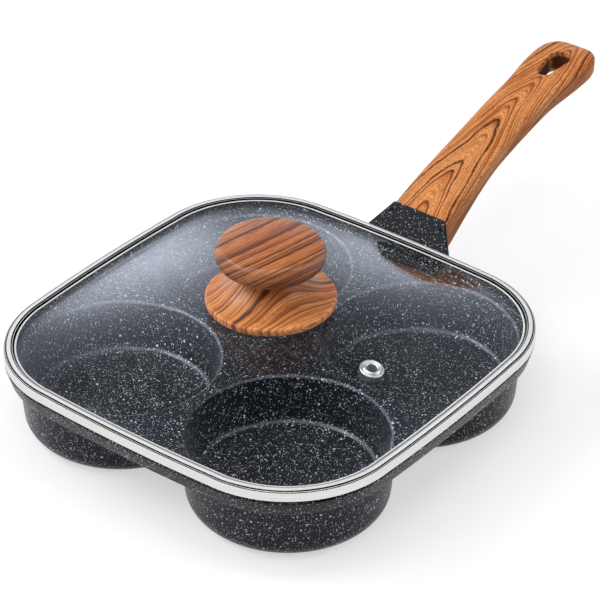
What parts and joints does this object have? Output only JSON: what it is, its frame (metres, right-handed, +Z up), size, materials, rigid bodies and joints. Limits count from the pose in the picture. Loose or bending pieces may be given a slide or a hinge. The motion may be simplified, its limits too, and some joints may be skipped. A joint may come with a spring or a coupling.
{
  "type": "four-section breakfast pan",
  "caption": "Square non-stick breakfast pan with round cups, a domed glass lid with a turned knob and steam vent, and a curved wood-look handle with a hang hole.",
  "frame": {"origin": "middle of the part's footprint, handle included, on the stove under the cups", "axes": "+Z up, +Y along the handle from the pan to its tip, +X to the right seen from the far side of the pan towards the handle"},
  "size_m": [0.1896, 0.3226, 0.0854],
  "materials": {
    "coating": "cast aluminium under a dark slate non-stick coating with fine white specks, satin",
    "guard_coating": "cast aluminium under the pan's dark speckled coating",
    "grip_wood_look": "moulded phenolic with an orange-brown wood-grain film, satin",
    "knob_wood_look": "moulded phenolic with a rosewood-brown grain film, satin",
    "band_steel": "bright rolled stainless steel",
    "screw_steel": "zinc-plated steel",
    "insert_brass": "turned brass",
    "silicone": "translucent pale silicone",
    "lid_glass": "clear toughened glass"
  },
  "bodies": {
    "pan": {"pan_body": "coating", "handle_guard": "guard_coating", "handle_grip": "grip_wood_look", "handle_screw": "screw_steel", "handle_spring_washer": "screw_steel"},
    "lid": {"lid_glass": "lid_glass", "lid_band": "band_steel", "vent_eyelet": "band_steel", "vent_washer": "silicone", "knob_gasket_upper": "silicone", "knob_skirt": "knob_wood_look", "knob_grip": "knob_wood_look", "knob_insert": "insert_brass", "knob_gasket_lower": "silicone", "knob_screw_washer": "screw_steel", "knob_screw": "screw_steel"}
  },
  "joints": [
    {"name": "lid_lift", "type": "slide", "parent": "pan", "child": "lid", "axis": [0, 0, 1], "range_m": [0, 0.12]}
  ]
}
